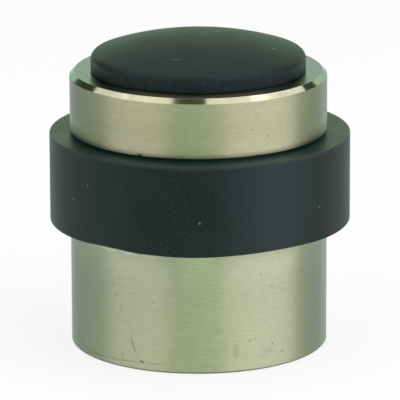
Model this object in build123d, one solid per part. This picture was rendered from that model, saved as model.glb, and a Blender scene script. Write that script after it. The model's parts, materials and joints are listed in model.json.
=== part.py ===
from build123d import *
from math import radians, tan
import os

# Floor door stop. A round metal cup stands on the floor, held by one screw through its base.
# A rubber ring in a groove round the cup takes the blow of the door, and a domed rubber cap
# plugs the open top over the screw.
# Millimetres, +Z up. The origin is on the axis, at floor level under the foot.

# Body: outside walls below and above the groove
body_diameter = 40.0
lower_wall_height = 19.65
upper_wall_height = 9.3
foot_edge_break = 0.25
rim_chamfer = 0.75

# Groove for the ring, and the metal left between its floor and the well
groove_depth = 2.5
groove_wall = 2.5
groove_edge_radius = 0.2

# Well inside the body, open at the top, and the base under it
base_thickness = 6.0
well_floor_radius = 1.5
well_mouth_chamfer = 0.3

# Hole for the fixing screw, countersunk from inside the well
screw_diameter = 5.0
screw_head_diameter = 10.0
screw_clearance = 0.25
countersink_angle = 90.0

# Buffer ring: stands proud of the body, rests on the groove's lower shoulder
ring_projection = 3.4
ring_height = 13.95
ring_edge_radius = 0.2
ring_bore_clearance = 0.1
ring_top_gap = 0.4

# Head of the cap: laps over the rim, with a short side and a domed top
cap_overlap = 1.7
cap_side_height = 2.6
cap_dome_rise = 2.95
cap_corner_radius = 1.2
cap_lower_edge_radius = 0.4
cap_crown_thickness = 4.2

# Hollow plug of the cap, with beads that grip the well's wall
plug_length = 9.0
plug_wall = 2.0
plug_clearance = 0.4
plug_lead_in = 0.6
plug_ceiling_radius = 1.0
bead_count = 3
bead_lead = 0.9
bead_land = 0.3
bead_clearance = 0.05

# Radii and heights that follow from the sizes above
body_radius = body_diameter / 2
groove_radius = body_radius - groove_depth
well_radius = groove_radius - groove_wall
shoulder_height = lower_wall_height
lip_height = shoulder_height + ring_height + ring_top_gap
rim_height = lip_height + upper_wall_height
head_radius = well_radius + cap_overlap
plug_radius = well_radius - plug_clearance


def turn(outline, rounds):
    """Revolve a closed outline of (radius, height) about the axis, once its corners are rounded.

    rounds lists the corners, each as ((radius, height), rounding radius).
    """
    section = make_face(outline)
    for (radius, height), rounding in rounds:
        corner = section.vertices().sort_by_distance(Vertex(radius, height, 0))[0]
        section = fillet(corner, rounding)
    return revolve(Plane.XZ * section, Axis.Z)


def make_body():
    """Cup with a chamfered rim, a groove round the outside and a countersunk hole in its base."""
    hole_radius = screw_diameter / 2 + screw_clearance
    countersink_radius = screw_head_diameter / 2 + screw_clearance
    countersink_depth = (countersink_radius - hole_radius) / tan(radians(countersink_angle / 2))
    outline = Polyline(
        (hole_radius, 0),
        (body_radius - foot_edge_break, 0),
        (body_radius, foot_edge_break),
        (body_radius, shoulder_height),
        (groove_radius, shoulder_height),
        (groove_radius, lip_height),
        (body_radius, lip_height),
        (body_radius, rim_height - rim_chamfer),
        (body_radius - rim_chamfer, rim_height),
        (well_radius + well_mouth_chamfer, rim_height),
        (well_radius, rim_height - well_mouth_chamfer),
        (well_radius, base_thickness),
        (countersink_radius, base_thickness),
        (hole_radius, base_thickness - countersink_depth),
        close=True,
    )
    rounds = [
        ((body_radius, shoulder_height), groove_edge_radius),
        ((body_radius, lip_height), groove_edge_radius),
        ((well_radius, base_thickness), well_floor_radius),
    ]
    return turn(outline, rounds)


def make_buffer_ring():
    """Square-sided rubber ring, stretched into the groove, with its edges slightly rounded."""
    bore_radius = groove_radius + ring_bore_clearance
    outer_radius = body_radius + ring_projection
    top_height = shoulder_height + ring_height
    corners = [
        (bore_radius, shoulder_height),
        (outer_radius, shoulder_height),
        (outer_radius, top_height),
        (bore_radius, top_height),
    ]
    return turn(Polyline(*corners, close=True), [(corner, ring_edge_radius) for corner in corners])


def plug_side():
    """Outside of the plug from its tip up to the rim: evenly spaced beads with square backs."""
    tip_height = rim_height - plug_length
    bead_radius = well_radius - bead_clearance
    bead_pitch = plug_length / (bead_count + 1)
    points = [(plug_radius - plug_lead_in, tip_height), (plug_radius, tip_height + plug_lead_in)]
    for bead in range(bead_count):
        back_height = tip_height + (bead + 1) * bead_pitch
        points += [
            (plug_radius, back_height - bead_land - bead_lead),
            (bead_radius, back_height - bead_land),
            (bead_radius, back_height),
            (plug_radius, back_height),
        ]
    return points


def make_top_cap():
    """Rubber cap: a domed head that rests on the rim, over a hollow beaded plug."""
    corner_height = rim_height + cap_side_height
    crown_height = corner_height + cap_dome_rise
    ceiling_height = crown_height - cap_crown_thickness
    hollow_radius = plug_radius - plug_wall
    under_and_side = Polyline(
        (0, crown_height),
        (0, ceiling_height),
        (hollow_radius, ceiling_height),
        (hollow_radius, rim_height - plug_length),
        *plug_side(),
        (plug_radius, rim_height),
        (head_radius, rim_height),
        (head_radius, corner_height),
    )
    dome = TangentArc((0, crown_height), (head_radius, corner_height), tangent=(1, 0))
    rounds = [
        ((head_radius, corner_height), cap_corner_radius),
        ((head_radius, rim_height), cap_lower_edge_radius),
        ((hollow_radius, ceiling_height), plug_ceiling_radius),
    ]
    return turn([under_and_side, dome], rounds)


def main():
    """Write each piece to its own file."""
    os.makedirs("parts", exist_ok=True)
    pieces = {
        "body": make_body(),
        "buffer_ring": make_buffer_ring(),
        "top_cap": make_top_cap(),
    }
    for name, piece in pieces.items():
        export_step(piece, f"parts/{name}.step")


main()
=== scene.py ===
"""Looks of a floor door stop: a turned satin metal body, a rubber ring in its groove, a rubber cap.

Metres, +Z up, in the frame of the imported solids. The camera looks along +Y and slightly down.
"""

import functools
import json
import logging
import math
from dataclasses import dataclass
from enum import Enum
from typing import Any, Iterable, Sequence, Union

import bpy
import numpy as np
from mathutils import Matrix, Vector


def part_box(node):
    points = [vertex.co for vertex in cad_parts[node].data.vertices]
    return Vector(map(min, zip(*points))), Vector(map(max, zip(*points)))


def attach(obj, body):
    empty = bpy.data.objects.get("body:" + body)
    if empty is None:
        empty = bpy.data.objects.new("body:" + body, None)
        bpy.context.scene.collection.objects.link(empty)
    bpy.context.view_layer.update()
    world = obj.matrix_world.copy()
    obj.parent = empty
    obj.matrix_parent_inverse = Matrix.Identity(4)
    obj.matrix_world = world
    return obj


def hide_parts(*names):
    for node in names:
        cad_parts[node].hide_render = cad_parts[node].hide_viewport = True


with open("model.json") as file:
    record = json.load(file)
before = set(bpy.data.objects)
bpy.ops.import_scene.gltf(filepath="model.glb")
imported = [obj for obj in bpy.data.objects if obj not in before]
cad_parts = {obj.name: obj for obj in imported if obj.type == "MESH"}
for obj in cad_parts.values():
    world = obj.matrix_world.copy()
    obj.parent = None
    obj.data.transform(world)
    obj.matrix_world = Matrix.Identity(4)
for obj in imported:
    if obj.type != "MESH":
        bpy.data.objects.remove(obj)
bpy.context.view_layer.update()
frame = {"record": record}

log = logging.getLogger("door_stop")

MM = 0.001
RECORD = frame["record"]

# Width of a sharp border in a mask, and distance of the points that guard a corner
HAIR = 0.05 * MM

# Share of the reach of a mark, fleck or painted highlight edge that has its full strength
CORE = 0.3

# Value that noise varies about
NOISE_MIDDLE = 0.5

# Roundings under this limit are broken edges, whose arcs have fewer pieces than other corners have
EDGE_BREAK = 0.1 * MM
BREAK_STEPS = 3
ROUND_STEPS = 7

# Angles in degrees
QUARTER_TURN = 90.0
HALF_TURN = 180.0
FULL_TURN = 360.0

# Sockets of a Mix node that mixes colours
MIX_FACTOR = 0
MIX_FIRST = 6
MIX_SECOND = 7
MIX_RESULT = 2

Colour = tuple[float, float, float]
Vec3 = tuple[float, float, float]
Pair = tuple[float, float]
Socket = bpy.types.NodeSocket
Input = Union[float, Sequence[float], "Wire", Socket]


class Slot(Enum):
    """Material slots of the record."""

    METAL = "satin_metal"
    RUBBER = "black_rubber"


class MarkKind(Enum):
    """What a mark does to the satin metal: wear, or a painted highlight."""

    SCRATCH = "scratch"
    PIT = "pit"
    SMUDGE = "smudge"
    # A painted highlight: a pale line under the ring's lower edge.
    PAINTED_HIGHLIGHT = "rub"


# Shader expressions


class Wire:
    """An output socket in a Python expression, where each operator on values adds one Math node."""

    def __init__(self, shader: "Shader", socket: Socket) -> None:
        """Wrap an output socket of a shader's node tree.

        Args:
            shader: The shader that new nodes are added to.
            socket: The output socket whose value this wire carries.
        """
        self.shader = shader
        self.socket = socket

    def math(self, operation: str, *others: Input) -> "Wire":
        """Apply a Math node to this wire.

        Args:
            operation: The Math node's operation.
            others: The second operand, where the operation has one.

        Returns:
            The result as a wire.
        """
        inputs = dict(enumerate((self, *others)))
        return self.shader.wire("ShaderNodeMath", {"operation": operation}, inputs)

    def __add__(self, other: Input) -> "Wire":
        """Sum."""
        return self.math("ADD", other)

    def __radd__(self, other: float) -> "Wire":
        """Sum with a number on the left."""
        return self.math("ADD", other)

    def __sub__(self, other: Input) -> "Wire":
        """Difference."""
        return self.math("SUBTRACT", other)

    def __rsub__(self, other: float) -> "Wire":
        """Difference from a number on the left."""
        return self.shader.wire("ShaderNodeMath", {"operation": "SUBTRACT"}, {0: other, 1: self})

    def __mul__(self, other: Input) -> "Wire":
        """Product."""
        return self.math("MULTIPLY", other)

    def __rmul__(self, other: float) -> "Wire":
        """Product with a number on the left."""
        return self.math("MULTIPLY", other)

    def at_least(self, other: Input) -> "Wire":
        """Larger of the two."""
        return self.math("MAXIMUM", other)

    def step(self, start: float, end: float) -> "Wire":
        """Smooth step of this wire.

        Args:
            start: The value at which the result is 0.
            end: The value at which the result is 1. It may lie below start.

        Returns:
            A wire from 0 to 1.
        """
        settings = {"interpolation_type": "SMOOTHSTEP"}
        low, high = sorted((start, end))
        ends = {"To Min": 0.0, "To Max": 1.0} if start < end else {"To Min": 1.0, "To Max": 0.0}
        inputs = {"Value": self, "From Min": low, "From Max": high, **ends}
        return self.shader.wire("ShaderNodeMapRange", settings, inputs)


class Shader:
    """One material and its node tree, to which each method adds."""

    def __init__(self, name: str) -> None:
        """Start an empty material.

        Args:
            name: The material's name.
        """
        self.material = bpy.data.materials.new(name)
        self.material.use_nodes = True
        self.tree = self.material.node_tree
        self.tree.nodes.clear()

    def node(self, kind: str, settings: dict[str, Any], inputs: dict[Any, Input]) -> bpy.types.Node:
        """Add a node, set its properties first and then its sockets.

        Args:
            kind: The node's type.
            settings: Properties of the node, such as a Math node's operation.
            inputs: Values, wires or sockets for the inputs, by name or number.

        Returns:
            The new node.
        """
        made = self.tree.nodes.new(kind)
        for key, value in settings.items():
            setattr(made, key, value)
        for key, value in inputs.items():
            source = value.socket if isinstance(value, Wire) else value
            if isinstance(source, Socket):
                self.tree.links.new(source, made.inputs[key])
            else:
                made.inputs[key].default_value = source
        return made

    def wire(
        self, kind: str, settings: dict[str, Any], inputs: dict[Any, Input], output: Any = 0
    ) -> Wire:
        """Add a node and take one of its outputs as a wire.

        Args:
            kind: The node's type.
            settings: Properties of the node.
            inputs: Values or links of its inputs.
            output: The output to take, by name or number.

        Returns:
            That output as a wire.
        """
        return Wire(self, self.node(kind, settings, inputs).outputs[output])

    def position(self) -> Wire:
        """Object coordinates, which are the frame's own, in metres."""
        return self.wire("ShaderNodeTexCoord", {}, {}, "Object")

    def parts(self, vector: Wire) -> tuple[Wire, Wire, Wire]:
        """Split a vector into its three values."""
        split = self.node("ShaderNodeSeparateXYZ", {}, {0: vector})
        return tuple(Wire(self, socket) for socket in split.outputs)

    def join(self, x: Input, y: Input, z: Input) -> Wire:
        """Make a vector of three values."""
        return self.wire("ShaderNodeCombineXYZ", {}, {0: x, 1: y, 2: z})

    def vector(self, operation: str, *operands: Input, output: Any = 0, **named: Input) -> Wire:
        """Apply a Vector Math node.

        Args:
            operation: The node's operation.
            operands: Its vectors, in order.
            output: The output to take.
            named: Inputs that are given by name, such as Scale.

        Returns:
            The result as a wire.
        """
        inputs = {**dict(enumerate(operands)), **named}
        return self.wire("ShaderNodeVectorMath", {"operation": operation}, inputs, output)

    def length(self, x: Input, y: Input) -> Wire:
        """Length of the flat vector (x, y)."""
        return self.vector("LENGTH", self.join(x, y, 0.0), output="Value")

    def scaled(self, vector: Wire, factor: float) -> Wire:
        """Vector times a number."""
        return self.vector("SCALE", vector, Scale=factor)

    def noise(self, vector: Wire, detail: float) -> Wire:
        """Noise of unit scale at a vector, from 0 to 1 about its middle."""
        inputs = {"Vector": vector, "Scale": 1.0, "Detail": detail}
        return self.wire("ShaderNodeTexNoise", {}, inputs, "Fac")

    def blend(self, factor: Wire, first: Input, second: Input) -> Wire:
        """Mix two colours by a factor."""
        inputs = {MIX_FACTOR: factor, MIX_FIRST: first, MIX_SECOND: second}
        return self.wire("ShaderNodeMix", {"data_type": "RGBA"}, inputs, MIX_RESULT)

    def bump(self, height: Wire, distance: float) -> Wire:
        """Normal tilted by a height map, whose full range stands for a distance in metres."""
        return self.wire("ShaderNodeBump", {}, {"Height": height, "Distance": distance})

    def surface(self, inputs: dict[str, Input]) -> bpy.types.Material:
        """Finish the material with a Principled surface.

        Args:
            inputs: The Principled node's values and links, by name.

        Returns:
            The material.
        """
        return self.output(self.node("ShaderNodeBsdfPrincipled", {}, inputs).outputs[0])

    def mix(self, factor: Wire, first: Socket, second: Socket) -> Socket:
        """Mix two surfaces by a factor."""
        return self.node("ShaderNodeMixShader", {}, {0: factor, 1: first, 2: second}).outputs[0]

    def output(self, surface: Socket) -> bpy.types.Material:
        """Finish the material with a surface and return it."""
        self.node("ShaderNodeOutputMaterial", {}, {"Surface": surface})
        return self.material


def rgba(colour: Colour) -> tuple[float, float, float, float]:
    """Colour with full alpha."""
    return (*colour, 1.0)


def strongest(masks: Iterable[Wire]) -> Wire:
    """Largest of some masks at each place."""
    return functools.reduce(Wire.at_least, masks)


def turn_round(x: Wire, y: Wire) -> Wire:
    """Angle of (x, y) round the axis, from the camera's side to the right, in radians."""
    return x.math("ARCTAN2", y * -1.0)


# Surfaces of revolution


@dataclass(frozen=True)
class Corner:
    """A corner of an outline: its radius from the axis, its height and its rounding."""

    radius: float
    height: float
    rounding: float = 0.04 * MM

    @property
    def steps(self) -> int:
        """Number of pieces of its arc."""
        return BREAK_STEPS if self.rounding < EDGE_BREAK else ROUND_STEPS

    def point(self) -> np.ndarray:
        """Radius and height as an array."""
        return np.array([self.radius, self.height])


def arc_between(start: np.ndarray, end: np.ndarray, centre: np.ndarray, steps: int) -> np.ndarray:
    """Points on the arc from start to end about a centre.

    The two spokes are blended by sin((1 - s) w) and sin(s w) over sin(w), where w is the angle
    between them, so that every blend has the spokes' length.

    Args:
        start: First point.
        end: Last point.
        centre: Centre of the arc.
        steps: Number of pieces.

    Returns:
        Points, one in each row, both ends included.
    """
    first, last = start - centre, end - centre
    cosine = first @ last / (np.linalg.norm(first) * np.linalg.norm(last))
    angle = math.acos(np.clip(cosine, -1.0, 1.0))
    share = np.linspace(0.0, 1.0, steps + 1)[:, None]
    spokes = np.sin((1 - share) * angle) * first + np.sin(share * angle) * last
    return centre + spokes / math.sin(angle)


def rounded_corner(before: Corner, corner: Corner, after: Corner) -> np.ndarray:
    """Arc that rounds one corner, tangent to the runs before and after it.

    With half the angle between the runs as h, the arc starts and ends rounding / tan(h) from the
    corner, and its centre lies rounding / sin(h) from it along the bisector.

    Args:
        before: The corner before.
        corner: The corner to round.
        after: The corner after.

    Returns:
        Points of the arc.
    """
    tip = corner.point()
    back = before.point() - tip
    onward = after.point() - tip
    back /= np.linalg.norm(back)
    onward /= np.linalg.norm(onward)
    half = 0.5 * math.acos(np.clip(back @ onward, -1.0, 1.0))
    bisector = (back + onward) / np.linalg.norm(back + onward)
    reach = corner.rounding / math.tan(half)
    centre = tip + bisector * corner.rounding / math.sin(half)
    return arc_between(tip + back * reach, tip + onward * reach, centre, corner.steps)


def run_between(start: np.ndarray, end: np.ndarray, pitch: float) -> np.ndarray:
    """Points on a straight run, evenly spaced, with one a hair from each end that keeps the run flat.

    Args:
        start: Where the run starts; not among the points.
        end: Where the run ends; not among the points.
        pitch: Largest distance between neighbours.

    Returns:
        Points, or none where the run is shorter than three hairs.
    """
    length = float(np.linalg.norm(end - start))
    if length < 3 * HAIR:
        return np.empty((0, 2))
    inner = np.linspace(HAIR, length - HAIR, max(2, math.ceil(length / pitch) + 1))
    return start + (end - start) * (inner / length)[:, None]


def outline_points(corners: Sequence[Corner], pitch: float, closed: bool) -> np.ndarray:
    """Outline through rounded corners, with straight runs between them.

    Args:
        corners: The corners in order. An open outline keeps its first and last corner as points.
        pitch: Largest distance between neighbours on a run.
        closed: Whether the last corner runs on to the first.

    Returns:
        Points of the outline as rows of radius and height.
    """
    count = len(corners)
    bends = []
    for index, corner in enumerate(corners):
        if not closed and index in (0, count - 1):
            bends.append(corner.point()[None])
        else:
            bends.append(rounded_corner(corners[index - 1], corner, corners[(index + 1) % count]))
    pieces = []
    for index, bend in enumerate(bends):
        pieces.append(bend)
        if closed or index < count - 1:
            following = bends[(index + 1) % count]
            pieces.append(run_between(bend[-1], following[0], pitch))
    return np.concatenate(pieces)


def azimuths(columns: int) -> np.ndarray:
    """Angles round the axis, from the back by way of the left, even all round."""
    return np.arange(columns) * (2 * math.pi / columns) + math.pi / 2


def lathe(outline: np.ndarray, angles: np.ndarray) -> np.ndarray:
    """Surface of revolution: (radius cos angle, radius sin angle, height) on a grid.

    Args:
        outline: Rows of radius and height.
        angles: Angles round the axis.

    Returns:
        Points as an array of rows, columns and three coordinates.
    """
    radius, height = outline[:, :1], outline[:, 1:]
    level = np.broadcast_to(height, (len(outline), len(angles)))
    return np.stack([radius * np.cos(angles), radius * np.sin(angles), level], axis=-1)


def grid_faces(rows: int, columns: int, closed: bool) -> np.ndarray:
    """Quads of a grid whose columns close into a loop.

    Args:
        rows: Number of rows.
        columns: Number of columns.
        closed: Whether the last row joins the first.

    Returns:
        Four vertex numbers for each quad.
    """
    row = np.arange(rows if closed else rows - 1)[:, None]
    column = np.arange(columns)[None, :]
    beside = (column + 1) % columns
    here, above = row * columns, (row + 1) % rows * columns
    corners = (here + column, here + beside, above + beside, above + column)
    return np.stack(corners, axis=-1).reshape(-1, 4)


def add_piece(name: str, points: np.ndarray, closed: bool) -> bpy.types.Object:
    """Make a mesh object of a grid of points, with a fan at each end where its rows are open.

    Args:
        name: The object's name.
        points: Rows, columns and three coordinates. The first and last row of an open grid lie on
            the axis, and each becomes one vertex.
        closed: Whether the last row joins the first.

    Returns:
        The new object, linked to the scene.
    """
    columns = points.shape[1]
    if closed:
        vertices = points.reshape(-1, 3)
        faces = grid_faces(points.shape[0], columns, True).tolist()
    else:
        rows = points.shape[0] - 2
        vertices = np.concatenate([points[1:-1].reshape(-1, 3), points[:1, 0], points[-1:, 0]])
        start = np.arange(columns)
        after = (start + 1) % columns
        last = (rows - 1) * columns
        first_pole = np.full(columns, rows * columns)
        last_pole = first_pole + 1
        faces = grid_faces(rows, columns, False).tolist()
        faces += np.stack([first_pole, after, start], axis=-1).tolist()
        faces += np.stack([last_pole, last + start, last + after], axis=-1).tolist()
    mesh = bpy.data.meshes.new(name)
    mesh.from_pydata(vertices, [], faces)
    mesh.shade_smooth()
    mesh.validate()
    piece = bpy.data.objects.new(name, mesh)
    bpy.context.collection.objects.link(piece)
    return piece


@dataclass(frozen=True)
class Swell:
    """A place where a soft edge stands higher or lower.

    Its azimuth is counted from the camera's side, in degrees to the right, and its reach in degrees.
    The rise is in metres.
    """

    azimuth: float
    reach: float
    rise: float

    def rise_at(self, angles: np.ndarray) -> np.ndarray:
        """Rise at each angle round the axis: rise times exp(-(turn / reach)^2), turn in degrees.

        Args:
            angles: Angles round the axis, in radians.

        Returns:
            The rise at each of them.
        """
        turn = np.degrees(angles) + QUARTER_TURN - self.azimuth
        turn = (turn + HALF_TURN) % FULL_TURN - HALF_TURN
        return self.rise * np.exp(-((turn / self.reach) ** 2))


# Finishes


@dataclass(frozen=True)
class Mark:
    """A mark on the outer wall, wear or a painted highlight: a narrow ellipse from one place to
    another.

    A place is an angle round the wall from the camera's side, in degrees to the right, and a height
    in millimetres. The width is in millimetres, and the strength runs from 0 to 1.
    """

    kind: MarkKind
    start: Pair
    end: Pair
    width: float
    strength: float

    def mask(self, shader: Shader, sheet: Wire, radius: float) -> Wire:
        """Strength of the mark over the unrolled wall.

        The wall's place is moved, turned and scaled until the ellipse is a circle of radius 1, and
        its distance from the middle then falls from the full strength to 0 at that circle.

        Args:
            shader: The shader to add to.
            sheet: Place on the unrolled wall: length round it, height and 0, in metres.
            radius: Radius of the wall.

        Returns:
            The mark's strength.
        """
        turns = np.radians([self.start[0], self.end[0]]) * radius
        heights = np.array([self.start[1], self.end[1]]) * MM
        run, rise = float(np.diff(turns)[0]), float(np.diff(heights)[0])
        shape = {
            "Vector": sheet,
            "Location": (float(turns.mean()), float(heights.mean()), 0.0),
            "Rotation": (0.0, 0.0, math.atan2(rise, run)),
            "Scale": ((math.hypot(run, rise) + self.width * MM) / 2, self.width * MM / 2, 1.0),
        }
        local = shader.wire("ShaderNodeMapping", {"vector_type": "TEXTURE"}, shape)
        return shader.vector("LENGTH", local, output="Value").step(1.0, CORE) * self.strength


WEAR_AND_PAINTED_HIGHLIGHT: tuple[Mark, ...] = (
    Mark(MarkKind.SCRATCH, (-41.4, 13.9), (-40.4, 12.6), 0.24, 0.50),
    Mark(MarkKind.SCRATCH, (-40.0, 11.8), (-39.0, 11.2), 0.26, 0.55),
    Mark(MarkKind.SCRATCH, (-36.9, 10.4), (-36.8, 8.7), 0.24, 0.25),
    Mark(MarkKind.SCRATCH, (-33.4, 8.2), (-32.9, 6.6), 0.24, 0.18),
    Mark(MarkKind.SCRATCH, (-32.7, 5.9), (-28.2, 2.1), 0.26, 0.60),
    Mark(MarkKind.SCRATCH, (-36.3, 2.8), (-36.3, 1.3), 0.26, 0.35),
    Mark(MarkKind.SCRATCH, (-63.0, 0.80), (-42.0, 1.10), 0.30, 0.32),
    Mark(MarkKind.SCRATCH, (-48.0, 1.02), (-24.0, 1.28), 0.30, 0.32),
    Mark(MarkKind.SCRATCH, (-30.0, 1.25), (-12.0, 1.34), 0.28, 0.22),
    Mark(MarkKind.PIT, (-43.4, 14.5), (-43.4, 14.5), 0.30, 0.50),
    Mark(MarkKind.PIT, (-27.0, 1.60), (-25.4, 1.30), 0.50, 0.70),
    Mark(MarkKind.PIT, (-20.5, 12.6), (-20.5, 12.6), 0.28, 0.30),
    Mark(MarkKind.PIT, (-20.5, 11.05), (-20.5, 11.05), 0.30, 0.55),
    Mark(MarkKind.PIT, (28.2, 15.2), (28.5, 15.15), 0.36, 0.50),
    Mark(MarkKind.PIT, (33.6, 13.1), (33.9, 13.1), 0.36, 0.50),
    Mark(MarkKind.PIT, (38.4, 9.1), (38.4, 9.1), 0.34, 0.25),
    Mark(MarkKind.PIT, (34.1, 9.4), (34.1, 9.4), 0.34, 0.20),
    Mark(MarkKind.PIT, (32.3, 6.6), (32.3, 6.6), 0.30, 0.25),
    Mark(MarkKind.PIT, (22.2, 4.95), (23.5, 4.90), 0.26, 0.60),
    Mark(MarkKind.PIT, (24.9, 5.02), (25.8, 5.00), 0.24, 0.55),
    Mark(MarkKind.PIT, (34.0, 4.15), (34.7, 3.70), 0.30, 0.65),
    Mark(MarkKind.PIT, (39.3, 2.35), (39.5, 2.25), 0.36, 0.60),
    Mark(MarkKind.PIT, (24.3, 38.2), (24.3, 38.2), 0.34, 0.50),
    Mark(MarkKind.PIT, (31.7, 36.9), (32.0, 36.9), 0.34, 0.60),
    Mark(MarkKind.PIT, (39.1, 42.9), (39.5, 43.0), 0.30, 0.60),
    Mark(MarkKind.PIT, (40.8, 43.05), (40.8, 43.05), 0.28, 0.50),
    Mark(MarkKind.PIT, (-27.4, 34.22), (-25.5, 34.22), 0.55, 0.90),
    Mark(MarkKind.PIT, (23.6, 34.14), (30.0, 34.16), 0.24, 0.55),
    Mark(MarkKind.SMUDGE, (16.3, 4.6), (16.3, 2.3), 1.40, 0.30),
    Mark(MarkKind.SMUDGE, (11.5, 4.5), (11.5, 3.7), 1.40, 0.18),
    Mark(MarkKind.SMUDGE, (29.6, 2.95), (33.8, 2.80), 1.70, 0.26),
    Mark(MarkKind.SMUDGE, (27.6, 2.10), (31.4, 2.10), 1.40, 0.22),
    Mark(MarkKind.SMUDGE, (8.2, 6.7), (10.0, 6.7), 1.40, 0.18),
    # Painted highlight: a pale line under the ring's lower edge on the left.
    Mark(MarkKind.PAINTED_HIGHLIGHT, (-58.0, 18.32), (-44.0, 18.48), 0.50, 0.45),
    Mark(MarkKind.PAINTED_HIGHLIGHT, (-51.0, 18.45), (-36.0, 18.42), 0.60, 0.85),
    Mark(MarkKind.PAINTED_HIGHLIGHT, (-39.0, 18.45), (-26.0, 18.32), 0.55, 0.70),
    Mark(MarkKind.PAINTED_HIGHLIGHT, (-29.0, 18.34), (-13.0, 18.32), 0.45, 0.35),
)


@dataclass(frozen=True)
class Wall:
    """What the metal's finish follows: the radius of the outer wall and the heights of its edges."""

    radius: float
    foot_edge: float
    shoulder: float
    lip: float
    rim_start: float


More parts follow.
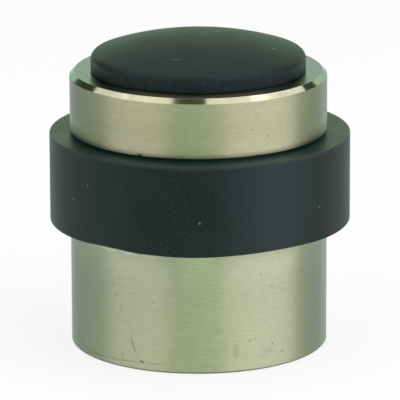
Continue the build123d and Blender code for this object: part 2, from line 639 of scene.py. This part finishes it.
@dataclass(frozen=True)
class SatinMetal:
    """Fine turned satin nickel: brushed round the axis, lacquered, worn, with painted shade at the foot
    and lip.

    Painted light makes the metal paler beside the ring, for some way below the groove's shoulder and
    above its lip, and a little brighter all below the groove. Gains multiply the brushed colour. The
    foot's painted shade starts and is full at heights that are counted in foot edges. The noise's
    scales are per metre, and other lengths are in metres.
    """

    tint: Colour = (0.482, 0.523, 0.318)
    shade: Colour = (0.433, 0.474, 0.287)
    # Painted light: this gain brightens the wall below the groove.
    lower_painted_light_gain: Colour = (1.05, 1.09, 1.14)
    rim_gain: Colour = (1.02, 0.99, 1.20)
    ledge_gain: Colour = (0.88, 0.78, 0.86)
    # Painted light: this gain brightens the metal beside the ring, within the reaches below and above.
    painted_light_gain: Colour = (1.25, 1.26, 1.29)
    painted_light_below: float = 8.0 * MM
    painted_light_above: float = 4.5 * MM
    smear: Colour = (0.270, 0.305, 0.188)
    # Painted highlight: colour of the pale line under the ring's lower edge.
    painted_highlight_colour: Colour = (0.80, 0.82, 0.74)
    scuff: Colour = (0.040, 0.042, 0.028)
    scuff_depth: float = 0.02 * MM
    # Painted shade: colour of the darkening at the foot edge and along the lip over the ring; its
    # strengths and reaches follow.
    painted_shade: Colour = (0.10, 0.11, 0.075)
    lip_shade: float = 0.60
    lip_reach: float = 0.95 * MM
    foot_shade: float = 0.80
    foot_edges: Pair = (1.5, 0.8)
    edge_tint: Colour = (0.38, 0.50, 0.66)
    lacquer: float = 0.35
    lacquer_roughness: float = 0.25
    roughness: float = 0.50
    rim_roughness: float = 0.15
    ledge_roughness: float = 0.20
    roughness_spread: float = 0.06
    anisotropy: float = 0.95
    brush_turn: float = 0.25
    brush_pitch: float = 0.22 * MM
    brush_reach: float = 1.2 * MM
    brush_depth: float = 0.002 * MM
    brush_slant: float = 0.6
    brush_share: float = 0.75
    brush_range: Pair = (0.3, 0.7)
    cloud_scale: float = 90.0
    wobble: float = 0.3 * MM
    wobble_scale: float = 900.0
    outside_depth: float = 0.75 * MM

    def brushing(self, shader: Shader, x: Wire, y: Wire, level: Wire) -> Wire:
        """Fine lines round the axis: noise that is drawn out along x and y and close along a level.

        Args:
            shader: The shader to add to.
            x: Place along x.
            y: Place along y.
            level: Height, with a share of the radius, so that flat faces have their circles too.

        Returns:
            The lines, as noise from 0 to 1.
        """
        along = 1 / self.brush_reach
        across = 1 / self.brush_pitch
        return shader.noise(shader.join(x * along, y * along, level * across), detail=2.0)

    def unrolled(self, shader: Shader, place: Wire, radius: float) -> Wire:
        """Place on the unrolled wall: length round it, height and 0, both made a little uneven.

        Args:
            shader: The shader to add to.
            place: Place in the frame.
            radius: Radius of the wall.

        Returns:
            The place that the wear marks are drawn at.
        """
        x, y, z = shader.parts(place)
        noise = shader.noise(shader.scaled(place, self.wobble_scale), detail=1.0)
        uneven = (noise - NOISE_MIDDLE) * self.wobble
        return shader.join(turn_round(x, y) * radius + uneven, z + uneven, 0.0)

    def worn(self, shader: Shader, sheet: Wire, radius: float, *kinds: MarkKind) -> Wire:
        """Strength of the marks of some kinds, wear or painted highlight, over the unrolled wall."""
        return strongest(mark.mask(shader, sheet, radius) for mark in WEAR_AND_PAINTED_HIGHLIGHT if mark.kind in kinds)

    def wall_colour(self, shader: Shader, brushed: Wire, z: Wire, wall: Wall) -> Wire:
        """Colour of the wall before its marks, with painted light: a little brighter below the groove,
        and paler beside it.

        Args:
            shader: The shader to add to.
            brushed: The brushed colour.
            z: Height.
            wall: Heights of the wall's edges.

        Returns:
            The colour.
        """
        lower = z.step(wall.lip, wall.shoulder)
        below = z.step(wall.shoulder - self.painted_light_below, wall.shoulder) * lower
        above = z.step(wall.lip + self.painted_light_above, wall.lip) * (1 - lower)
        used = shader.blend(lower, brushed, shader.vector("MULTIPLY", brushed, self.lower_painted_light_gain))
        return shader.blend(below + above, used, shader.vector("MULTIPLY", used, self.painted_light_gain))

    def painted_shade_mask(self, z: Wire, outside: Wire, wall: Wall) -> Wire:
        """Strength of the painted shade: at the edge of the foot, and outside along the lip over the
        ring.

        Args:
            z: Height.
            outside: Mask of the outer wall.
            wall: Heights of the wall's edges.

        Returns:
            A mask from 0 to 1.
        """
        start, full = self.foot_edges
        foot = z.step(start * wall.foot_edge, full * wall.foot_edge) * self.foot_shade
        upper = z.step(wall.shoulder, wall.lip)
        lip = z.step(wall.lip + self.lip_reach, wall.lip) * upper * outside * self.lip_shade
        return foot.at_least(lip)

    def material(self, wall: Wall) -> bpy.types.Material:
        """Make the metal's material.

        Args:
            wall: The wall that the marks, the painted shade and the rim follow.

        Returns:
            The material.
        """
        shader = Shader("satin_metal")
        place = shader.position()
        x, y, z = shader.parts(place)
        radius = shader.length(x, y)
        border = wall.radius - self.outside_depth
        outside = radius.step(border - HAIR, border)
        rim = z.step(wall.rim_start - HAIR, wall.rim_start + HAIR)
        lines = self.brushing(shader, x, y, z + self.brush_slant * radius)
        cloud = shader.noise(shader.scaled(place, self.cloud_scale), detail=2.0)
        grain = lines * self.brush_share + cloud * (1 - self.brush_share)
        brushed = shader.blend(grain.step(*self.brush_range), rgba(self.tint), rgba(self.shade))
        chamfer_colour = shader.vector("MULTIPLY", brushed, self.rim_gain)
        ledge_colour = shader.vector("MULTIPLY", brushed, self.ledge_gain)
        rim_colour = shader.blend(outside, ledge_colour, chamfer_colour)
        clean = shader.blend(rim, self.wall_colour(shader, brushed, z, wall), rim_colour)

        sheet = self.unrolled(shader, place, wall.radius)
        smeared = self.worn(shader, sheet, wall.radius, MarkKind.SMUDGE) * outside
        # Painted highlight under the ring's lower edge.
        painted_highlight = self.worn(shader, sheet, wall.radius, MarkKind.PAINTED_HIGHLIGHT) * outside
        scuffed = self.worn(shader, sheet, wall.radius, MarkKind.SCRATCH, MarkKind.PIT) * outside
        hazy = shader.blend(smeared, clean, rgba(self.smear))
        highlighted = shader.blend(painted_highlight, hazy, rgba(self.painted_highlight_colour))
        # Painted shade at the foot edge and along the lip.
        shaded = shader.blend(self.painted_shade_mask(z, outside, wall), highlighted, rgba(self.painted_shade))

        rim_roughness = outside * (self.rim_roughness - self.ledge_roughness) + self.ledge_roughness
        even = rim * (rim_roughness - self.roughness) + self.roughness
        height = lines * self.brush_depth - scuffed * self.scuff_depth
        return shader.surface({
            "Base Color": shader.blend(scuffed, shaded, rgba(self.scuff)),
            "Metallic": 1.0,
            "Roughness": even + (lines - NOISE_MIDDLE) * self.roughness_spread,
            "Anisotropic": self.anisotropy,
            "Anisotropic Rotation": self.brush_turn,
            "Specular Tint": rgba(self.edge_tint),
            "Coat Weight": self.lacquer,
            "Coat Roughness": self.lacquer_roughness,
            "Normal": shader.bump(height, distance=1.0),
        })


@dataclass(frozen=True)
class Dust:
    """A scatter of pale specks: small balls in the middle of a share of random cells.

    The pitch of the cells and the radius are in metres. The core is the share of the radius that has
    the full strength, and the spread is the step in chance over which the choice of cells fades.
    """

    pitch: float
    radius: float
    share: float
    strength: float
    core: float = 0.5
    spread: float = 0.01

    def mask(self, shader: Shader, place: Wire) -> Wire:
        """Strength of the specks at a place.

        Args:
            shader: The shader to add to.
            place: Place in the frame.

        Returns:
            A mask from 0 to the specks' strength.
        """
        cells = shader.node("ShaderNodeTexVoronoi", {}, {"Vector": place, "Scale": 1 / self.pitch})
        reach = Wire(shader, cells.outputs["Distance"]) * self.pitch
        chance = shader.parts(Wire(shader, cells.outputs["Color"]))[0]
        chosen = chance.step(self.share + self.spread, self.share)
        return reach.step(self.radius, self.core * self.radius) * chosen * self.strength


@dataclass(frozen=True)
class PaintedLightPatch:
    """Painted light: a paler patch on one side of a turned piece, where the lamps light it.

    Its azimuth is counted from the camera's side, in degrees to the right, and its reach in degrees.
    """

    azimuth: float
    reach: float
    strength: float

    def mask(self, shader: Shader, place: Wire) -> Wire:
        """Strength of the painted light at a place: full at its angle and 0 beyond its reach.

        Args:
            shader: The shader to add to.
            place: Place in the frame.

        Returns:
            A mask from 0 to the film's strength.
        """
        x, y, _ = shader.parts(place)
        away = (turn_round(x, y) - math.radians(self.azimuth)).math("ABSOLUTE")
        return away.step(math.radians(self.reach), 0.0) * self.strength


@dataclass(frozen=True)
class Fleck:
    """A pale fleck on the rubber: a small ball about a place in the frame, both in millimetres."""

    place: Vec3
    radius: float
    strength: float

    def mask(self, shader: Shader, place: Wire) -> Wire:
        """Strength of the fleck at a place: full at its middle and 0 beyond its radius.

        Args:
            shader: The shader to add to.
            place: Place in the frame.

        Returns:
            A mask from 0 to the fleck's strength.
        """
        middle = tuple(value * MM for value in self.place)
        radius = self.radius * MM
        away = shader.vector("DISTANCE", place, middle, output="Value")
        return away.step(radius, CORE * radius) * self.strength


@dataclass(frozen=True)
class PaintedHighlightEdge:
    """An edge of a turned piece with a painted highlight, paler within a reach of its circle, in
    metres.
    """

    radius: float
    height: float
    reach: float
    strength: float

    def mask(self, shader: Shader, place: Wire) -> Wire:
        """Strength of the painted highlight at a place: full on the edge's circle and 0 beyond its
        reach.

        The distance from the circle is the length of (radius - edge radius, height - edge height).

        Args:
            shader: The shader to add to.
            place: Place in the frame.

        Returns:
            A mask from 0 to the rubbing's strength.
        """
        x, y, z = shader.parts(place)
        away = shader.length(shader.length(x, y) - self.radius, z - self.height)
        return away.step(self.reach, CORE * self.reach) * self.strength


DUST: tuple[Dust, ...] = (
    Dust(pitch=4.0 * MM, radius=0.11 * MM, share=0.30, strength=1.0),
    Dust(pitch=1.1 * MM, radius=0.10 * MM, share=0.45, strength=0.16),
)


@dataclass(frozen=True)
class MatteRubber:
    """Moulded black rubber: matte, finely grained and dusty, with a painted highlight along an edge,
    and painted light patches and flecks on some pieces.
    """

    tint: Colour = (0.0012, 0.0024, 0.0025)
    worn: Colour = (0.0112, 0.0152, 0.0168)
    # Painted highlight: colour of the paler edge.
    painted_highlight: Colour = (0.024, 0.031, 0.032)
    # Painted light: colour of the paler patches on the lamp-lit sides.
    painted_light: Colour = (0.0185, 0.0275, 0.0265)
    dust: Colour = (0.16, 0.17, 0.15)
    sheen: Colour = (0.64, 0.97, 0.90)
    roughness: float = 0.52
    gloss: float = 0.26
    bloom: float = 0.08
    bloom_tint: Colour = (0.10, 1.0, 0.66)
    bloom_roughness: float = 0.35
    grain: float = 0.30 * MM
    grain_depth: float = 0.032 * MM
    grain_share: float = 0.7
    grain_range: Pair = (0.3, 0.75)
    cloud_scale: float = 160.0
    top_roughness: float = 0.40
    roughness_spread: float = 0.15
    specks: tuple[Dust, ...] = DUST
    painted_lights: tuple[PaintedLightPatch, ...] = ()
    flecks: tuple[Fleck, ...] = ()

    def material(self, name: str, edge: PaintedHighlightEdge, smooth_above: float) -> bpy.types.Material:
        """Make the rubber's material.

        Args:
            name: The material's name.
            edge: The edge that gets a painted highlight.
            smooth_above: Height above which the surface is smoother.

        Returns:
            The material.
        """
        shader = Shader(name)
        place = shader.position()
        grain = shader.noise(shader.scaled(place, 1 / self.grain), detail=2.0)
        cloud = shader.noise(shader.scaled(place, self.cloud_scale), detail=3.0)
        mottle = grain * self.grain_share + cloud * (1 - self.grain_share)
        plain = shader.blend(mottle.step(*self.grain_range), rgba(self.tint), rgba(self.worn))
        # Painted light on the lamp-lit sides.
        for painted_light in self.painted_lights:
            plain = shader.blend(painted_light.mask(shader, place), plain, rgba(self.painted_light))
        # Painted highlight along the edge.
        used = shader.blend(edge.mask(shader, place), plain, rgba(self.painted_highlight))
        dusty = strongest(layer.mask(shader, place) for layer in (*self.specks, *self.flecks))
        z = shader.parts(place)[2]
        smooth = z.step(smooth_above, smooth_above + HAIR)
        even = smooth * (self.top_roughness - self.roughness) + self.roughness
        return shader.surface({
            "Base Color": shader.blend(dusty, used, rgba(self.dust)),
            "Roughness": even + (cloud - NOISE_MIDDLE) * self.roughness_spread,
            "Specular IOR Level": self.gloss,
            "Specular Tint": rgba(self.sheen),
            "Sheen Weight": self.bloom,
            "Sheen Tint": rgba(self.bloom_tint),
            "Sheen Roughness": self.bloom_roughness,
            "Normal": shader.bump(grain, distance=self.grain_depth),
        })


# Pieces


def adopt(piece: bpy.types.Object, node: str, material: bpy.types.Material) -> None:
    """Dress a piece and let it stand for a CAD node.

    Args:
        piece: The new piece.
        node: The CAD node that it replaces.
        material: Its finish.
    """
    piece.data.materials.append(material)
    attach(piece, "root")
    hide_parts(node)


@dataclass
class Body:
    """Round metal cup with a groove for the ring, a chamfered rim and a countersunk base."""

    radius: float
    height: float
    shoulder: float
    lip: float
    hole_radius: float
    hole_length: float
    groove_depth: float = 2.5 * MM
    groove_wall: float = 2.5 * MM
    groove_edge: float = 0.2 * MM
    foot_edge: float = 0.25 * MM
    rim_chamfer: float = 0.75 * MM
    base: float = 6.0 * MM
    well_rounding: float = 1.5 * MM
    mouth_chamfer: float = 0.3 * MM
    columns: int = 512
    pitch: float = 4.0 * MM
    finish: SatinMetal = SatinMetal()

    @property
    def groove_radius(self) -> float:
        """Radius of the groove's floor."""
        return self.radius - self.groove_depth

    @property
    def well_radius(self) -> float:
        """Radius of the well inside."""
        return self.groove_radius - self.groove_wall

    def outline(self) -> list[Corner]:
        """Corners of the section, from the hole's lower edge out, up the wall and down the well.

        Returns:
            The corners in order.
        """
        countersink = self.base - self.hole_length
        return [
            Corner(self.hole_radius, 0.0),
            Corner(self.radius - self.foot_edge, 0.0),
            Corner(self.radius, self.foot_edge),
            Corner(self.radius, self.shoulder, self.groove_edge),
            Corner(self.groove_radius, self.shoulder),
            Corner(self.groove_radius, self.lip),
            Corner(self.radius, self.lip, self.groove_edge),
            Corner(self.radius, self.height - self.rim_chamfer),
            Corner(self.radius - self.rim_chamfer, self.height),
            Corner(self.well_radius + self.mouth_chamfer, self.height),
            Corner(self.well_radius, self.height - self.mouth_chamfer),
            Corner(self.well_radius, self.base, self.well_rounding),
            Corner(self.hole_radius + countersink, self.base),
            Corner(self.hole_radius, self.hole_length),
        ]

    def build(self) -> bpy.types.Object:
        """Turn the section about the axis and dress it.

        Returns:
            The finished piece.
        """
        points = lathe(outline_points(self.outline(), self.pitch, True), azimuths(self.columns))
        piece = add_piece("turned_body", points, True)
        wall = Wall(
            radius=self.radius,
            foot_edge=self.foot_edge,
            shoulder=self.shoulder,
            lip=self.lip,
            rim_start=self.height - self.rim_chamfer,
        )
        adopt(piece, "body", self.finish.material(wall))
        return piece


RING_FLECKS: tuple[Fleck, ...] = (
    Fleck((-16.95, -15.93, 28.92), 0.24, 0.60),
    Fleck((-19.17, -13.13, 25.96), 0.24, 0.60),
    Fleck((18.49, -14.60, 24.96), 0.24, 0.60),
    Fleck((0.12, -23.40, 24.90), 0.26, 0.70),
)
# Painted light: paler patches on the ring's two lamp-lit sides.
RING_PAINTED_LIGHT: tuple[PaintedLightPatch, ...] = (
    PaintedLightPatch(azimuth=29.0, reach=27.0, strength=0.9),
    PaintedLightPatch(azimuth=-41.0, reach=27.0, strength=0.28),
)


@dataclass
class BufferRing:
    """Rubber ring round the body, set a little to the right and uneven along its lower edge."""

    bore: float
    seat: float
    radius: float
    bottom: float
    top: float
    edge: float = 0.2 * MM
    offset: float = 0.2 * MM
    swells: tuple[Swell, ...] = (
        Swell(-4.0, 17.0, -0.24 * MM),
        Swell(-38.0, 10.0, 0.24 * MM),
        Swell(-24.0, 2.5, -0.05 * MM),
        Swell(36.0, 14.0, 0.12 * MM),
    )
    # Reach and strength of the painted highlight on the top outer edge.
    highlight_reach: float = 0.6 * MM
    highlight_strength: float = 0.8
    columns: int = 512
    pitch: float = 0.5 * MM
    finish: MatteRubber = MatteRubber(painted_lights=RING_PAINTED_LIGHT, flecks=RING_FLECKS)

    def outline(self) -> list[Corner]:
        """Corners of the section, from the bore's lower edge out and up.

        Returns:
            The corners in order.
        """
        return [
            Corner(self.bore, self.bottom, self.edge),
            Corner(self.radius, self.bottom, self.edge),
            Corner(self.radius, self.top, self.edge),
            Corner(self.bore, self.top, self.edge),
        ]

    def settle(self, points: np.ndarray, outline: np.ndarray, angles: np.ndarray) -> np.ndarray:
        """Shift the ring's outside to the right and swell its lower edge, as the photograph shows.

        The shift grows from nothing at the bore to the full amount at the outside, with the share
        (radius - bore) / (outside - bore). The swells grow likewise, but from the seat, so that the
        ring's foot stays flat on the metal, and they fade to nothing at half the height.

        Args:
            points: The ring's grid of points.
            outline: Rows of radius and height that the grid was turned from.
            angles: Angles round the axis.

        Returns:
            The settled points.
        """
        reach = outline[:, :1]
        outward = (reach - self.bore) / (self.radius - self.bore)
        beyond = np.clip((reach - self.seat) / (self.radius - self.seat), 0, 1)
        low = np.clip(1 - 2 * (outline[:, 1:] - self.bottom) / (self.top - self.bottom), 0, 1)
        settled = points.copy()
        settled[..., 0] += outward * self.offset
        settled[..., 2] += beyond * low * sum(swell.rise_at(angles) for swell in self.swells)
        return settled

    def build(self) -> bpy.types.Object:
        """Turn the section about the axis and dress it.

        Returns:
            The finished piece.
        """
        angles = azimuths(self.columns)
        outline = outline_points(self.outline(), self.pitch, True)
        points = self.settle(lathe(outline, angles), outline, angles)
        piece = add_piece("rubber_ring", points, True)
        # Painted highlight along the ring's top outer edge.
        edge = PaintedHighlightEdge(self.radius, self.top, self.highlight_reach, self.highlight_strength)
        material = self.finish.material("ring_rubber", edge, self.top - self.edge / 2)
        adopt(piece, "buffer_ring", material)
        return piece


CAP_FLECKS: tuple[Fleck, ...] = (
    Fleck((2.85, 2.43, 48.71), 0.34, 1.0),
    Fleck((11.68, -3.34, 47.31), 0.34, 1.0),
    Fleck((-3.99, -10.98, 47.43), 0.30, 0.35),
    Fleck((-3.60, -11.05, 47.45), 0.30, 0.40),
    Fleck((-3.20, -11.10, 47.46), 0.30, 0.40),
    Fleck((-2.80, -11.16, 47.47), 0.30, 0.35),
)
CAP_WORN: Colour = (0.0130, 0.0195, 0.0235)


@dataclass
class TopCap:
    """Rubber cap: a domed head that laps over the rim, on a hollow plug with beads.

    Its painted highlight edge lies on the rounded corner, in from the side and up from the side's top
    by shares of the corner's radius.
    """

    head_radius: float
    seat: float
    crown: float
    tip: float
    well_radius: float
    dome_rise: float = 2.95 * MM
    corner: float = 1.2 * MM
    lower_edge: float = 0.4 * MM
    crown_thickness: float = 4.2 * MM
    ceiling_rounding: float = 1.0 * MM
    plug_clearance: float = 0.4 * MM
    plug_wall: float = 2.0 * MM
    lead_in: float = 0.6 * MM
    bead_count: int = 3
    bead_lead: float = 0.9 * MM
    bead_land: float = 0.3 * MM
    bead_clearance: float = 0.05 * MM
    # Place, reach and strength of the painted highlight on the corner.
    highlight_inset: float = 0.3
    highlight_rise: float = 0.7
    highlight_reach: float = 0.6 * MM
    highlight_strength: float = 0.2
    columns: int = 360
    pitch: float = 4.0 * MM
    dome_steps: int = 48
    corner_steps: int = 14
    finish: MatteRubber = MatteRubber(worn=CAP_WORN, grain_depth=0.045 * MM, flecks=CAP_FLECKS)

    @property
    def plug_radius(self) -> float:
        """Radius of the plug between its beads."""
        return self.well_radius - self.plug_clearance

    def dome(self) -> np.ndarray:
        """Dome and its rounded corner, from the crown to the top of the side.

        The dome is an arc of radius (head^2 + rise^2) / (2 rise) about a centre on the axis. The
        corner's arc lies inside it, tangent to the dome and to the side.

        Returns:
            Points of the two arcs.
        """
        big = (self.head_radius**2 + self.dome_rise**2) / (2 * self.dome_rise)
        centre = np.array([0.0, self.crown - big])
        inset = self.head_radius - self.corner
        pivot = np.array([inset, centre[1] + math.sqrt((big - self.corner) ** 2 - inset**2)])
        meet = pivot + (pivot - centre) / np.linalg.norm(pivot - centre) * self.corner
        top = np.array([0.0, self.crown])
        side = pivot + np.array([self.corner, 0.0])
        crown_arc = arc_between(top, meet, centre, self.dome_steps)
        corner_arc = arc_between(meet, side, pivot, self.corner_steps)
        return np.concatenate([crown_arc, corner_arc[1:]])

    def beads(self) -> list[Corner]:
        """Corners of the plug's outside from the rim down: beads with square backs, then the lead-in.

        Returns:
            The corners in order.
        """
        plug = self.plug_radius
        bead = self.well_radius - self.bead_clearance
        bead_pitch = (self.seat - self.tip) / (self.bead_count + 1)
        corners = []
        for index in reversed(range(self.bead_count)):
            back = self.tip + (index + 1) * bead_pitch
            corners += [
                Corner(plug, back),
                Corner(bead, back),
                Corner(bead, back - self.bead_land),
                Corner(plug, back - self.bead_land - self.bead_lead),
            ]
        return [*corners, Corner(plug, self.tip + self.lead_in), Corner(plug - self.lead_in, self.tip)]

    def underside(self, side_top: float) -> list[Corner]:
        """Corners from the top of the side down round the plug and up its hollow to the axis.

        Args:
            side_top: Height at which the side ends and the rounded corner starts.

        Returns:
            The corners in order.
        """
        hollow = self.plug_radius - self.plug_wall
        ceiling = self.crown - self.crown_thickness
        return [
            Corner(self.head_radius, side_top),
            Corner(self.head_radius, self.seat, self.lower_edge),
            Corner(self.plug_radius, self.seat),
            *self.beads(),
            Corner(hollow, self.tip),
            Corner(hollow, ceiling, self.ceiling_rounding),
            Corner(0.0, ceiling),
        ]

    def build(self) -> bpy.types.Object:
        """Turn the section about the axis and dress it.

        Returns:
            The finished piece.
        """
        dome = self.dome()
        side_top = float(dome[-1, 1])
        rest = outline_points(self.underside(side_top), self.pitch, False)
        outline = np.concatenate([dome, rest[1:]])[::-1]
        points = lathe(outline, azimuths(self.columns))
        piece = add_piece("domed_cap", points, False)
        # Painted highlight along the cap's rounded corner.
        edge = PaintedHighlightEdge(
            radius=self.head_radius - self.highlight_inset * self.corner,
            height=side_top + self.highlight_rise * self.corner,
            reach=self.highlight_reach,
            strength=self.highlight_strength,
        )
        adopt(piece, "top_cap", self.finish.material("cap_rubber", edge, self.crown))
        return piece


# Studio

WHITE: Colour = (1.0, 1.0, 1.0)
LOW_TINT: Colour = (0.81, 0.68, 0.83)
HIGH_TINT: Colour = (0.92, 0.84, 0.83)
TOP_TINT: Colour = (0.97, 0.98, 1.00)
BACK_TINT: Colour = (0.86, 1.0, 0.72)
FRONT_TINT: Colour = (0.79, 1.0, 0.70)


@dataclass(frozen=True)
class SoftBox:
    """A flat soft light, given by three of its corners in metres and by its brightness.

    The level is the brightness of its face, where 1 renders as white, and the tint its colour.
    """

    name: str
    corner: Vec3
    along: Vec3
    above: Vec3
    level: float
    tint: Colour

    def hang(self, aim: Vector) -> None:
        """Make the light, with its face towards the aim point.

        Its power is pi times its area times its level, as an even face of that level sends out.

        Args:
            aim: The point that the light faces.
        """
        side = Vector(self.along) - Vector(self.corner)
        rise = Vector(self.above) - Vector(self.corner)
        centre = (Vector(self.along) + Vector(self.above)) / 2
        away = side.cross(rise).normalized()
        if away.dot(centre - aim) < 0:
            side, away = -side, -away
        light = bpy.data.lights.new(self.name, "AREA")
        light.shape = "RECTANGLE"
        light.size, light.size_y = side.length, rise.length
        light.energy = math.pi * side.length * rise.length * self.level
        light.color = self.tint
        lamp = bpy.data.objects.new(self.name, light)
        turn = Matrix((side.normalized(), rise.normalized(), away)).transposed()
        lamp.matrix_world = Matrix.Translation(centre) @ turn.to_4x4()
        bpy.context.collection.objects.link(lamp)


SOFT_BOXES: tuple[SoftBox, ...] = (
    SoftBox("right_low", (0.60, -1.4, 0.0), (0.60, 0.036, 0.0), (0.425, -1.4, 0.4), 2.45, LOW_TINT),
    SoftBox("right_high", (0.425, -1.1, 0.4), (0.425, 0.016, 0.4), (0.09, -1.1, 1.2), 1.55, HIGH_TINT),
    SoftBox(
        "right_strip",
        (0.402, 0.426, 0.485),
        (0.268, 0.007, 0.726),
        (0.558, 0.315, 0.378),
        1.78,
        HIGH_TINT,
    ),
    SoftBox("left_low", (-0.60, -1.0, 0.0), (-0.60, -0.02, 0.0), (-0.483, -1.0, 0.4), 1.35, LOW_TINT),
    SoftBox("left_high", (-0.483, -1.0, 0.4), (-0.483, 0.06, 0.4), (-0.30, -1.0, 1.2), 1.58, HIGH_TINT),
    SoftBox(
        "left_strip",
        (-0.536, 0.296, 0.383),
        (-0.501, 0.0, 0.566),
        (-0.375, 0.388, 0.501),
        1.45,
        HIGH_TINT,
    ),
    SoftBox("top", (-0.6, 0.1, 1.25), (0.6, 0.1, 1.25), (-0.6, 0.9, 1.25), 2.00, TOP_TINT),
    SoftBox("back", (-0.9, 1.5, 0.0), (1.3, 1.5, 0.0), (-0.9, 1.5, 0.9), 1.00, BACK_TINT),
    SoftBox("front", (0.35, -1.5, 0.0), (-0.45, -1.5, 0.0), (0.35, -1.5, 0.6), 1.60, FRONT_TINT),
)


@dataclass(frozen=True)
class Studio:
    """Pale floor, soft lights and the camera, whose angles are in degrees.

    The floor's glow is the share of plain white that seen and mirrored rays find on it.
    """

    camera_distance: float = 700 * MM
    camera_elevation: float = 15.07
    camera_roll: float = -0.2
    lens: float = 403.2
    sensor: float = 36.0
    aim: Vec3 = (0.2 * MM, 0.0, 22.28 * MM)
    clip_start: float = 10 * MM
    clip_end: float = 20.0
    floor_half: float = 3.0
    floor_drop: float = 0.02 * MM
    floor_tint: Colour = (0.960, 0.975, 1.0)
    floor_roughness: float = 0.9
    floor_glow: float = 0.78
    seen_rays: tuple[str, ...] = ("Is Camera Ray", "Is Glossy Ray", "Is Transmission Ray")
    room: Colour = (0.05, 0.07, 0.032)
    boxes: tuple[SoftBox, ...] = SOFT_BOXES

    def lay_floor(self) -> None:
        """Make the floor, a wide flat sheet just under the foot."""
        corner = np.array([[-1, -1], [1, -1], [1, 1], [-1, 1]]) * self.floor_half
        mesh = bpy.data.meshes.new("floor")
        mesh.from_pydata(np.column_stack([corner, np.full(4, -self.floor_drop)]), [], [(0, 1, 2, 3)])
        floor = bpy.data.objects.new("floor", mesh)
        mesh.materials.append(self.floor_material())
        bpy.context.collection.objects.link(floor)

    def floor_material(self) -> bpy.types.Material:
        """Pale matte floor that is whiter where it is seen or mirrored, and lights nothing by it.

        Returns:
            The material.
        """
        shader = Shader("pale_floor")
        matte = {
            "Base Color": rgba(self.floor_tint),
            "Roughness": self.floor_roughness,
            "Specular IOR Level": 0.0,
        }
        lit = shader.node("ShaderNodeBsdfPrincipled", {}, matte)
        white = shader.node("ShaderNodeEmission", {}, {"Color": rgba(WHITE), "Strength": 1.0})
        path = shader.node("ShaderNodeLightPath", {}, {})
        seen = strongest(Wire(shader, path.outputs[ray]) for ray in self.seen_rays)
        return shader.output(shader.mix(seen * self.floor_glow, lit.outputs[0], white.outputs[0]))

    def light(self) -> None:
        """Set the room's even glow and hang the soft boxes."""
        world = bpy.data.worlds.new("room")
        world.use_nodes = True
        background = world.node_tree.nodes["Background"]
        background.inputs["Color"].default_value = rgba(self.room)
        bpy.context.scene.world = world
        for box in self.boxes:
            box.hang(Vector(self.aim))

    def place_camera(self) -> None:
        """Put the camera in front, looking down on the object, with the photograph's slight roll."""
        elevation = math.radians(self.camera_elevation)
        back = Vector((0.0, -math.cos(elevation), math.sin(elevation)))
        data = bpy.data.cameras.new("camera")
        data.lens = self.lens
        data.sensor_width = self.sensor
        data.clip_start = self.clip_start
        data.clip_end = self.clip_end
        camera = bpy.data.objects.new("camera", data)
        turn = back.to_track_quat("Z", "Y").to_matrix().to_4x4()
        roll = Matrix.Rotation(math.radians(self.camera_roll), 4, "Z")
        stand = Vector(self.aim) + back * self.camera_distance
        camera.matrix_world = Matrix.Translation(stand) @ turn @ roll
        bpy.context.collection.objects.link(camera)
        bpy.context.scene.camera = camera

    def build(self) -> None:
        """Make the whole studio."""
        bpy.context.scene.view_settings.view_transform = "Standard"
        self.lay_floor()
        self.light()
        self.place_camera()


def mount(name: str) -> dict[str, Any]:
    """Mount of the record by its name."""
    return next(entry for entry in RECORD["mounts"] if entry["name"] == name)


def main() -> None:
    """Build the pieces and the studio, and report each piece."""
    logging.basicConfig(level=logging.INFO, format="%(name)s: %(message)s")
    _, body_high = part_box("body")
    ring_low, ring_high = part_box("buffer_ring")
    cap_low, cap_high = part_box("top_cap")
    hole = mount("screw_hole")["dims"]
    ring_top_gap = 0.4 * MM
    ring_clearance = 0.1 * MM
    body = Body(
        radius=body_high[0],
        height=body_high[2],
        shoulder=ring_low[2],
        lip=ring_high[2] + ring_top_gap,
        hole_radius=hole["r_mm"] * MM,
        hole_length=hole["length_mm"] * MM,
    )
    ring = BufferRing(
        bore=body.groove_radius + ring_clearance,
        seat=body.radius,
        radius=ring_high[0],
        bottom=ring_low[2],
        top=ring_high[2],
    )
    cap = TopCap(
        head_radius=cap_high[0],
        seat=body.height,
        crown=cap_high[2],
        tip=cap_low[2],
        well_radius=body.well_radius,
    )
    for part in (body, ring, cap):
        piece = part.build()
        log.info("%s: %d faces", piece.name, len(piece.data.polygons))
    Studio().build()


if __name__ == "__main__":
    main()
